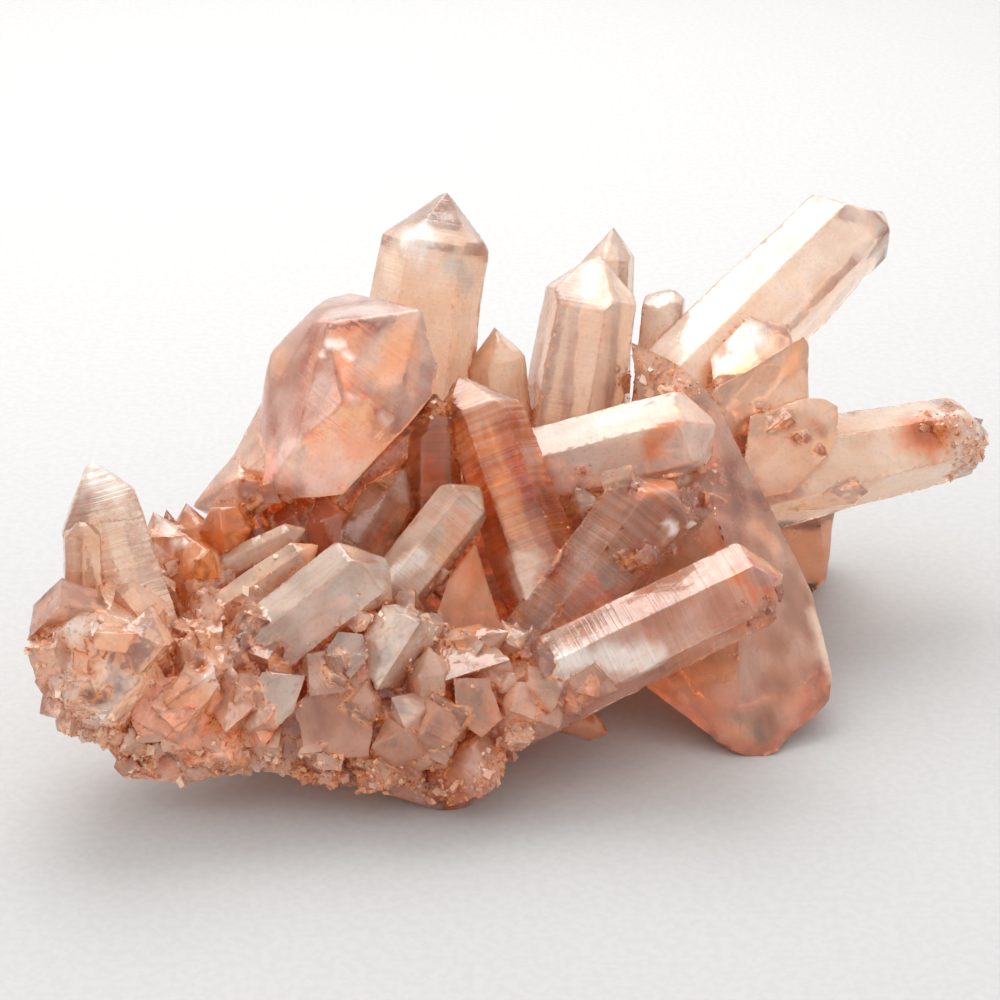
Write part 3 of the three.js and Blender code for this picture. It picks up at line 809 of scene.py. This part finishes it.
def lay_marks(painter, shelter, seam, ridge):
    """Iron stain and painted shade in the hollows, stains in the seams and on the ridges, then the
    marks.
    """
    # The hollows' orange and rust follow how walled in a place is: partly iron stain, partly painted
    # shade.
    sheltered = np.clip((shelter - HOLLOW_FROM) * HOLLOW_GAIN, 0, 1)[painter.points]
    painter.lay_tone("orange", HOLLOW_RUST_AND_SHADE * sheltered)
    low = np.clip((LOW_EDGE - painter.places[:, 2]) / LOW_EDGE, 0, 1)
    low *= painter.places[:, 1] < LOW_EDGE_FRONT
    low *= LOW_ORANGE * np.clip(LOW_GROUND + UNEVEN * painter.blur, 0, 1)
    painter.lay_tone("orange", low[painter.points])
    stained = np.clip(RIDGE_GROUND + UNEVEN * painter.blur, RIDGE_LEAST, 1) * ridge
    painter.lay_tone("amber", RIDGE_AMBER * stained[painter.points])
    painter.traits["rust"] = np.clip(seam[painter.points] * SEAM_RUST + sheltered, 0, 1)
    for name, marks in TRAIT_MARKS.items():
        trait = painter.traits[name]
        for mark in marks:
            amount = painter.reach(mark, own=name in OWN_CRYSTAL_ONLY)
            trait += (1 - trait) * amount
    stain = np.zeros(len(painter.points))
    for name, marks in TONE_MARKS:
        for mark in marks:
            amount = painter.reach(mark, own=True)
            painter.lay_tone(name, amount)
            stain = np.maximum(stain, amount)
    rough = painter.traits["rough"]
    clear = (LEAST_CLEAR + CLEAR_RANGE * painter.traits["clear"]) * (1 - STAIN_TAKES * stain)
    clear *= (1 - ROUGH_TAKES * rough) * (1 - CRUST_TAKES * painter.traits["crust"])
    painter.traits["clear"] = clear
    painter.traits["rust"] = np.clip(painter.traits["rust"] + ROUGH_RUST * rough, 0, 1)
    painter.lay_tone("rust", ROUGH_STAIN * rough)


def growth_lines(mesh, crystal_of_face, count):
    """Each crystal's long direction: the one that its sides turn least towards."""
    normals = np.zeros(len(mesh.polygons) * 3)
    areas = np.zeros(len(mesh.polygons))
    mesh.polygons.foreach_get("normal", normals)
    mesh.polygons.foreach_get("area", areas)
    normals = normals.reshape(-1, 3)
    axes = np.zeros((count, 3))
    for crystal in range(count):
        mine = crystal_of_face == crystal
        if not mine.any():
            axes[crystal] = (0, 0, 1)
            continue
        spread = (normals[mine] * areas[mine][:, None]).T @ normals[mine]
        axes[crystal] = np.linalg.eigh(spread)[1][:, 0]
    return axes


def store(mesh, name, values, domain="CORNER"):
    """Keeps values on a mesh as a colour attribute."""
    layer = mesh.color_attributes.new(name, "FLOAT_COLOR", domain)
    full = np.ones((len(values), 4))
    full[:, :values.shape[1]] = values
    layer.data.foreach_set("color", full.ravel())


def broken_height(spot):
    """The height of tilted, stepped facets at a place, as on broken crystal."""
    _, centres = noise.voronoi(spot / CRUST_CELL)
    centre = centres[0]
    tilt = noise.cell_vector(centre * 7.3) - Vector((0.5, 0.5, 0.5))
    step = noise.cell(centre * 5.1 + Vector((3, 3, 3)))
    return CRUST_TILT * tilt.dot(spot / CRUST_CELL - centre) * CRUST_CELL + CRUST_STEP * step


def shape_surface(mesh, painter, seam):
    """Waves on the faces and crumble on the crust, kept inside the solid's box."""
    rough = np.zeros(len(mesh.vertices))
    crust = np.zeros(len(mesh.vertices))
    np.maximum.at(rough, painter.points, painter.traits["rough"])
    np.maximum.at(crust, painter.points, painter.traits["crust"])
    places, normals = painter.places, painter.normals
    lift = np.zeros(len(places))
    for n, place in enumerate(places):
        spot = Vector(place)
        wave = WAVE * scatter_value(spot, WAVE_LENGTH)
        wave += FINE_WAVE * scatter_value(spot, FINE_WAVE_LENGTH, FINE_WAVE_SHIFT)
        lift[n] = wave * (1 - seam[n])
        if crust[n] > LEAST_TRAIT:
            lift[n] += crust[n] * broken_height(spot) * (1 - SEAM_KEEPS * seam[n])
        if rough[n] > LEAST_TRAIT:
            crumble = scatter_value(spot, CRUMBLE_LENGTH, CRUMBLE_SHIFT)
            fine = scatter_value(spot, FINE_CRUMBLE_LENGTH, FINE_CRUMBLE_SHIFT)
            crumble += FINE_CRUMBLE * fine
            lift[n] += CRUMBLE * rough[n] * (crumble - CRUMBLE_SINK)
    lift[places[:, 2] < ON_FLOOR] = 0
    moved = np.clip(places + normals * lift[:, None], CAD_BOX[0], CAD_BOX[1])
    mesh.vertices.foreach_set("co", moved.ravel())
    painter.places = moved


# Crust crystals and grains

def pointed_crystals(count, random_of):
    """Short six-sided crystals along Z, about one unit thick: each one's corners, and the triangles."""
    turn = np.radians(60 * np.arange(6)) + random_of.uniform(-0.17, 0.17, (count, 6))
    width = random_of.uniform(0.36, 0.58, (count, 6))
    ring = np.stack([np.cos(turn) * width, np.sin(turn) * width], axis=2)
    height = random_of.uniform(-0.4, 0.2, (count, 1))
    corners = np.zeros((count, 13, 3))
    corners[:, :6, :2] = ring
    corners[:, :6, 2] = -0.7
    corners[:, 6:12, :2] = ring
    corners[:, 6:12, 2] = height + random_of.uniform(-0.22, 0.22, (count, 6))
    corners[:, 12, :2] = random_of.uniform(-0.2, 0.2, (count, 2))
    corners[:, 12, 2] = height[:, 0] + random_of.uniform(0.32, 0.6, count)
    triangles = [(0, 2, 1), (0, 3, 2), (0, 4, 3), (0, 5, 4)]
    for n in range(6):
        after = (n + 1) % 6
        triangles += [(n, after, 6 + after), (n, 6 + after, 6 + n), (6 + n, 6 + after, 12)]
    return corners, np.array(triangles)


def broken_grains(count, random_of):
    """Uneven six-faced chips about one unit across: each one's corners, and the triangles."""
    box = np.array([(x, y, z) for z in (-0.5, 0.3) for y in (-0.5, 0.5) for x in (-0.5, 0.5)])
    corners = box + random_of.uniform(-0.2, 0.2, (count, 8, 3))
    corners *= random_of.uniform(0.5, 1.1, (count, 1, 3))
    sides = [(0, 2, 3, 1), (4, 5, 7, 6), (0, 1, 5, 4), (2, 6, 7, 3), (0, 4, 6, 2), (1, 3, 7, 5)]
    triangles = [t for a, b, c, d in sides for t in ((a, b, c), (a, c, d))]
    return corners, np.array(triangles)


def set_stones(corners, sizes, centres, normals, lean, random_of):
    """The corners of stones that are set on places, leaning off their normals."""
    count = len(corners)
    ups = normals + random_of.normal(0, lean, (count, 3))
    ups /= np.linalg.norm(ups, axis=1)[:, None]
    asides = np.cross(ups, random_of.normal(0, 1, (count, 3)))
    asides /= np.linalg.norm(asides, axis=1)[:, None]
    frames = np.stack([asides, np.cross(ups, asides), ups], axis=1)
    placed = centres[:, None] + np.einsum("nki,nij->nkj", corners * sizes[:, None, None], frames)
    low = np.array(CAD_BOX[0]) + EDGE_ROOM
    high = np.array(CAD_BOX[1]) - EDGE_ROOM
    kept = ((placed > low) & (placed < high)).all(axis=(1, 2))
    return placed[kept], ups[kept], kept


def stones_mesh(name, placed, triangles):
    """One mesh of many stones of one make."""
    stones, corner_count = placed.shape[:2]
    firsts = np.arange(stones)[:, None, None] * corner_count
    mesh = bpy.data.meshes.new(name)
    mesh.from_pydata(placed.reshape(-1, 3), [], (firsts + triangles).reshape(-1, 3).tolist())
    return mesh


def apart_groups(stones):
    """Splits stones into groups in which none touch."""
    centres = [s.mean(axis=0) for s in stones]
    reaches = [np.linalg.norm(s - c, axis=1).max() for s, c in zip(stones, centres)]
    groups = []
    for n, (centre, reach) in enumerate(zip(centres, reaches)):
        for group in groups:
            if all(np.linalg.norm(centre - centres[m]) > reach + reaches[m] for m in group):
                group.append(n)
                break
        else:
            groups.append([n])
    return groups


def join_mesh(holder, mesh):
    """Joins a closed mesh to an object's own."""
    tool = bpy.data.objects.new("stones", mesh)
    bpy.context.scene.collection.objects.link(tool)
    joining = holder.modifiers.new("join", "BOOLEAN")
    joining.operation = "UNION"
    joining.solver = "MANIFOLD"
    joining.object = tool
    joined = holder.evaluated_get(bpy.context.evaluated_depsgraph_get())
    mesh = bpy.data.meshes.new_from_object(joined)
    holder.modifiers.clear()
    holder.data = mesh
    bpy.data.objects.remove(tool)


def grow_crust(bm, tree):
    """Joins the crust's small crystals to the solid."""
    random_of = np.random.default_rng(STONE_SEED)
    bm.faces.ensure_lookup_table()
    areas = np.array([f.calc_area() for f in bm.faces])
    ways = np.array([f.normal for f in bm.faces])
    corners = np.array([[v.co for v in f.verts] for f in bm.faces])
    faces = random_of.choice(len(areas), SURFACE_SAMPLES, p=areas / areas.sum())
    shares = random_of.dirichlet((1, 1, 1), SURFACE_SAMPLES)
    places = (corners[faces] * shares[:, :, None]).sum(axis=1)
    makes = (pointed_crystals, broken_grains)
    grown = ([], [])
    for mark in CRUST_STONES:
        count, size = mark[5:]
        near = np.flatnonzero(distance_to(mark_line(mark, tree), places) < 1)
        for make, shape in enumerate(makes):
            chosen = random_of.choice(near, round(count / 2))
            sizes = MM * size * random_of.lognormal(0, STONE_SPREAD, len(chosen))
            corners_of, _ = shape(len(chosen), random_of)
            facing = ways[faces[chosen]]
            placed, _, _ = set_stones(corners_of, sizes, places[chosen], facing, STONE_LEAN, random_of)
            grown[make].extend(placed)
    solid = bpy.data.meshes.new("solid")
    bm.to_mesh(solid)
    holder = bpy.data.objects.new("solid", solid)
    bpy.context.scene.collection.objects.link(holder)
    for shape, stones in zip(makes, grown):
        _, triangles = shape(1, np.random.default_rng(0))
        for group in apart_groups(stones):
            mesh = stones_mesh("stones", np.array([stones[n] for n in group]), triangles)
            join_mesh(holder, mesh)
    grown_bm = bmesh.new()
    grown_bm.from_mesh(holder.data)
    wide = [f for f in grown_bm.faces if len(f.verts) > 3]
    bmesh.ops.triangulate(grown_bm, faces=wide, ngon_method="BEAUTY")
    grown_bm.normal_update()
    bpy.data.objects.remove(holder)
    bm.free()
    return grown_bm


def strew(name, shapes, sizes, chance, painter, tints, random_of):
    """Grains set into the cluster's faces, as one mesh."""
    corners, triangles = shapes
    count = len(corners)
    faces = random_of.choice(len(chance), count, p=chance / chance.sum())
    sides = painter.places[painter.points.reshape(-1, 3)[faces]]
    shares = random_of.dirichlet((1, 1, 1), count)
    centres = (sides * shares[:, :, None]).sum(axis=1)
    ways = np.cross(sides[:, 1] - sides[:, 0], sides[:, 2] - sides[:, 0])
    ways /= np.maximum(np.linalg.norm(ways, axis=1), 1e-15)[:, None]
    placed, ups, kept = set_stones(corners, sizes, centres, ways, GRAIN_LEAN, random_of)
    stones, corner_count = placed.shape[:2]
    mesh = stones_mesh(name, placed, triangles)
    picked = tints[random_of.integers(0, len(tints), stones)]
    ground = painter.tones.reshape(-1, 3, 3)[faces[kept]].mean(axis=1)
    share = random_of.uniform(*GRAIN_TINTS, (stones, 1))
    tones = ground * (1 - share) + picked * share
    traits = np.stack([
        random_of.uniform(*GRAIN_CLEARNESSES, stones),
        np.full(stones, GRAIN_ROUGHNESS),
        random_of.uniform(*GRAIN_RUSTS, stones),
    ], axis=1)
    lined = random_of.uniform(*GRAIN_LININGS, (stones, 1))
    growth = np.concatenate([ups * 0.5 + 0.5, lined], axis=1)
    for title, values in (("tone", tones), ("traits", traits), ("growth", growth)):
        store(mesh, title, np.repeat(values, corner_count, axis=0), "POINT")
    piece = bpy.data.objects.new(name, mesh)
    bpy.context.scene.collection.objects.link(piece)
    return piece


def grain_sizes(middle, limits, count, random_of):
    return MM * np.clip(random_of.lognormal(middle, GRAIN_SPREAD, count), *limits)


def crust_grains(painter, areas):
    """The crust's grains and the rust's."""
    random_of = np.random.default_rng(GRAIN_SEED)
    crust, rough, rust = (
        painter.traits[name].reshape(-1, 3).mean(axis=1) for name in ("crust", "rough", "rust")
    )
    warm = np.array([TONES[n] for n in ("milky", "peach", "peach", "pink", "amber", "orange", "brown")])
    dark = np.array([TONES[n] for n in ("orange", "orange", "rust", "brown", "amber", "amber")])
    grains = strew(
        "crust_grains", broken_grains(CRUST_GRAINS, random_of),
        grain_sizes(CRUST_GRAIN_MIDDLE, CRUST_GRAIN_LIMITS, CRUST_GRAINS, random_of),
        areas * (rough + GRAIN_ON_CRUST * crust), painter, warm, random_of,
    )
    dust = strew(
        "rust_grains", broken_grains(RUST_GRAINS, random_of),
        grain_sizes(RUST_GRAIN_MIDDLE, RUST_GRAIN_LIMITS, RUST_GRAINS, random_of),
        areas * rust * (GRAIN_ON_SMOOTH + rough), painter, dark, random_of,
    )
    return [grains, dust]


def seam_corners(bm):
    """One where a corner lies in a seam."""
    return np.array([float(any(fold(e) < -RIDGE for e in v.link_edges)) for v in bm.verts])


def ridge_corners(bm):
    """One where a corner lies on a ridge."""
    return np.array([float(any(fold(e) > KEEN_RIDGE for e in v.link_edges)) for v in bm.verts])


def dressed_cluster(node):
    """The cluster as one piece, refined and painted."""
    bm = clean_solid(node)
    bm = grow_crust(bm, BVHTree.FromBMesh(bm))
    count = number_crystals(bm)
    set_coarseness(bm, count)
    refine(bm)
    refine_crust(bm, BVHTree.FromBMesh(bm))
    seam = seam_corners(bm)
    ridge = ridge_corners(bm)
    wear_ridges(bm)
    wear_ends(bm, BVHTree.FromBMesh(bm))
    bm.normal_update()
    crystal = bm.faces.layers.int["crystal"]
    crystal_of_face = np.array([face[crystal] for face in bm.faces])
    tree = BVHTree.FromBMesh(bm)
    mesh = bpy.data.meshes.new("quartz")
    bm.to_mesh(mesh)
    bm.free()
    painter = Painter(mesh, tree, crystal_of_face)
    shelter = shelter_of(painter.places, painter.normals, tree)
    lay_crystals(painter, count)
    lay_marks(painter, shelter, seam, ridge)
    axes = growth_lines(mesh, crystal_of_face, count)[painter.crystals]
    shape_surface(mesh, painter, seam)
    traits = painter.traits
    store(mesh, "tone", painter.tones)
    store(mesh, "traits", np.stack([traits[name] for name in ("clear", "rough", "rust")], axis=1))
    store(mesh, "growth", np.concatenate([axes * 0.5 + 0.5, traits["lined"][:, None]], axis=1))
    mesh.polygons.foreach_set("use_smooth", np.ones(len(mesh.polygons), dtype=bool))
    mesh.set_sharp_from_angle(angle=SHARP)
    piece = bpy.data.objects.new("cluster", mesh)
    bpy.context.scene.collection.objects.link(piece)
    return [piece] + crust_grains(painter, 3 * painter.corner_areas()[::3])


# Materials

class Shader:
    """A node material that is written in short calls."""

    def __init__(self, name):
        self.material = bpy.data.materials.new(name)
        self.material.use_nodes = True
        self.tree = self.material.node_tree
        self.tree.nodes.clear()

    def feed(self, socket, value):
        if isinstance(value, bpy.types.NodeSocket):
            self.tree.links.new(value, socket)
        else:
            socket.default_value = value

    def add(self, kind, inputs=None, **settings):
        made = self.tree.nodes.new("ShaderNode" + kind)
        for name, value in settings.items():
            setattr(made, name, value)
        for name, value in (inputs or {}).items():
            self.feed(made.inputs[name], value)
        return made

    def maths(self, operation, first, second=0.5, third=0.0, clamp=False):
        inputs = {0: first, 1: second, 2: third}
        return self.add("Math", inputs, operation=operation, use_clamp=clamp).outputs[0]

    def vector(self, operation, first, second):
        return self.add("VectorMath", {0: first, 1: second}, operation=operation)

    def ramp(self, value, low, high, to_low=0.0, to_high=1.0):
        """value from low to high, eased to the range from to_low to to_high."""
        inputs = {"Value": value, "From Min": low, "From Max": high, "To Min": to_low, "To Max": to_high}
        return self.add("MapRange", inputs, interpolation_type="SMOOTHSTEP").outputs[0]

    def blend(self, share, first, second):
        """The second colour over the first, by its share."""
        return self.add("Mix", {0: share, 6: first, 7: second}, data_type="RGBA").outputs[2]

    def grain(self, place, size, detail=1.0):
        inputs = {"Vector": place, "Scale": 1 / size, "Detail": detail}
        return self.add("TexNoise", inputs).outputs["Fac"]


def plain(name):
    """A tone as a full colour."""
    return tuple(TONES[name]) + (1.0,)


def quartz_material():
    """Quartz that lets light through where it is clear, and is milky and stained elsewhere."""
    shader = Shader("quartz")
    place = shader.add("TexCoord").outputs["Object"]
    tones = shader.add("Attribute", attribute_name="tone").outputs["Color"]
    traits = shader.add("Attribute", attribute_name="traits")
    clear, rough, rust = shader.add("SeparateColor", {"Color": traits.outputs["Color"]}).outputs
    growth = shader.add("Attribute", attribute_name="growth")
    lined = growth.outputs["Alpha"]
    half_axis = shader.vector("SUBTRACT", growth.outputs["Vector"], (0.5, 0.5, 0.5)).outputs[0]
    along = shader.vector("DOT_PRODUCT", half_axis, place).outputs["Value"]
    pull = shader.maths("MULTIPLY", along, DRAWN_OUT)
    pulled = shader.add("VectorMath", {0: half_axis, "Scale": pull}, operation="SCALE").outputs[0]
    drawn = shader.vector("SUBTRACT", place, pulled).outputs[0]

    cloud = shader.grain(place, CLOUD_SIZE)
    streak = shader.grain(drawn, STREAK_SIZE, 2)
    patchy = shader.grain(place, PATCH_SIZE, 2)
    speck = shader.grain(place, SPECK_SIZE)

    ambered = shader.ramp(streak, 0.5, 0.75, 0.0, AMBER_STREAKS)
    whitened = shader.ramp(cloud, 0.42, 0.72, 0.0, WHITE_CLOUDS)
    streaked = shader.blend(ambered, tones, plain("amber"))
    clouded = shader.blend(whitened, streaked, plain("white"))
    rusty = shader.maths("MULTIPLY", shader.ramp(patchy, 0.44, 0.62), rust)
    stained = shader.blend(shader.maths("MULTIPLY", rusty, AMBER_STAIN), clouded, plain("amber"))
    speckled = shader.maths("ADD", rusty, SPECKS_ANYWHERE)
    specks = shader.maths("MULTIPLY", shader.ramp(speck, 0.56, 0.66), speckled)
    line_inputs = {"W": along, "Scale": 1 / LINE_SIZE, "Detail": 2.0}
    lines = shader.add("TexNoise", line_inputs, noise_dimensions="1D")
    ledges = shader.maths("MULTIPLY", shader.ramp(lines.outputs["Fac"], 0.4, 0.6), lined)
    banded = shader.blend(shader.maths("MULTIPLY", ledges, clear), stained, plain("white"))
    colour = shader.blend(shader.maths("MULTIPLY", specks, RUST_SPECKS), banded, plain("rust"))

    hazed = shader.maths("MULTIPLY", clear, shader.ramp(cloud, 0.35, 0.65, 1.08, 0.86))
    veiled = shader.maths("MULTIPLY", hazed, shader.ramp(streak, 0.35, 0.7, 1.04, 0.9))
    unstained = shader.ramp(rusty, 0, 1, 1.0, STAINED_CLEAR)
    through = shader.maths("MULTIPLY", veiled, unstained, clamp=True)
    hazy = shader.ramp(patchy, 0.4, 0.65, *DULLNESS)
    dull = shader.maths("ADD", hazy, shader.maths("MULTIPLY", rough, ROUGH_DULLS))

    terraces = shader.maths("SNAP", streak, TERRACE)
    pitted = shader.ramp(rough, 0, 1, LEAST_PITTED, 1.0)
    pits = shader.maths("MULTIPLY", shader.grain(place, SPECK_SIZE, 2), pitted)
    bump = shader.add("Bump", {
        "Height": shader.maths("ADD", shader.maths("ADD", ledges, pits), terraces),
        "Distance": RELIEF,
        "Strength": RELIEF_STRENGTH,
    })
    surface = shader.add("BsdfPrincipled", {
        "Base Color": colour,
        "Roughness": dull,
        "Transmission Weight": through,
        "Normal": bump.outputs[0],
        "IOR": REFRACTION,
        "Coat Weight": COAT,
        "Coat Roughness": COAT_ROUGHNESS,
    })
    depth = shader.add("VolumeAbsorption", {"Color": ABSORBED, "Density": ABSORPTION})
    shader.add("OutputMaterial", {"Surface": surface.outputs[0], "Volume": depth.outputs[0]})
    return shader.material


# Surroundings

def floor_material():
    shader = Shader("paper")
    place = shader.add("TexCoord").outputs["Object"]
    fibre = shader.grain(place, 1.5 * MM)
    tint = shader.blend(shader.ramp(fibre, 0.4, 0.6), (0.49, 0.49, 0.49, 1), (0.51, 0.51, 0.51, 1))
    surface = shader.add("BsdfPrincipled", {"Base Color": tint, "Roughness": 0.8})
    shader.add("OutputMaterial", {"Surface": surface.outputs[0]})
    return shader.material


def lay_floor():
    bm = bmesh.new()
    bmesh.ops.create_grid(bm, x_segments=8, y_segments=8, size=3.0)
    mesh = bpy.data.meshes.new("floor")
    bm.to_mesh(mesh)
    bm.free()
    mesh.materials.append(floor_material())
    floor = bpy.data.objects.new("floor", mesh)
    bpy.context.scene.collection.objects.link(floor)


def add_lamp(name, place, target, size, power, colour):
    lamp = bpy.data.lights.new(name, "AREA")
    lamp.shape = "DISK"
    lamp.size = size
    lamp.energy = power
    lamp.color = colour
    holder = bpy.data.objects.new(name, lamp)
    holder.location = place
    holder.rotation_euler = (Vector(target) - Vector(place)).to_track_quat("-Z", "Y").to_euler()
    bpy.context.scene.collection.objects.link(holder)


def light_scene():
    world = bpy.data.worlds.new("room")
    world.use_nodes = True
    nodes = world.node_tree.nodes
    links = world.node_tree.links
    ground = nodes["Background"]
    ground.inputs["Color"].default_value = (1.0, 0.995, 0.99, 1)
    toward = nodes.new("ShaderNodeTexCoord").outputs["Generated"]
    brighter = nodes.new("ShaderNodeVectorMath")
    brighter.operation = "DOT_PRODUCT"
    links.new(toward, brighter.inputs[0])
    brighter.inputs[1].default_value = BRIGHT_WAY
    strength = nodes.new("ShaderNodeMapRange")
    links.new(brighter.outputs["Value"], strength.inputs["Value"])
    strength.inputs["From Min"].default_value = -0.6
    strength.inputs["From Max"].default_value = 0.9
    strength.inputs["To Min"].default_value = 0.92
    strength.inputs["To Max"].default_value = 1.2
    links.new(strength.outputs[0], ground.inputs["Strength"])
    world.cycles.sampling_method = "NONE"
    bpy.context.scene.world = world
    add_lamp(
        "window", place=(-0.08, 0.35, 0.52), target=(-0.02, 0.0, 0.02), size=0.55, power=3.0,
        colour=(1.0, 0.99, 0.97),
    )
    add_lamp(
        "side", place=(-0.7, -0.3, 0.5), target=(0, 0, 0.03), size=0.5, power=1.0,
        colour=(1.0, 0.98, 0.96),
    )


def add_camera():
    data = bpy.data.cameras.new("camera")
    data.lens = LENS
    data.sensor_width = 36
    data.clip_end = 20
    camera = bpy.data.objects.new("camera", data)
    camera.location = EYE
    camera.rotation_euler = SIGHT.to_track_quat("-Z", "Y").to_euler()
    bpy.context.scene.collection.objects.link(camera)
    bpy.context.scene.camera = camera


add_camera()
light_scene()
lay_floor()
bpy.context.scene.view_settings.view_transform = "Standard"
bpy.context.scene.cycles.use_denoising = True
bpy.context.scene.cycles.use_light_tree = False
bpy.context.scene.cycles.max_bounces = LIGHT_BOUNCES
bpy.context.scene.cycles.transmission_bounces = LIGHT_BOUNCES

pieces = dressed_cluster(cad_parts["quartz_cluster"])
quartz = quartz_material()
for piece in pieces:
    piece.data.materials.append(quartz)
    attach(piece, "root")
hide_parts("quartz_cluster")
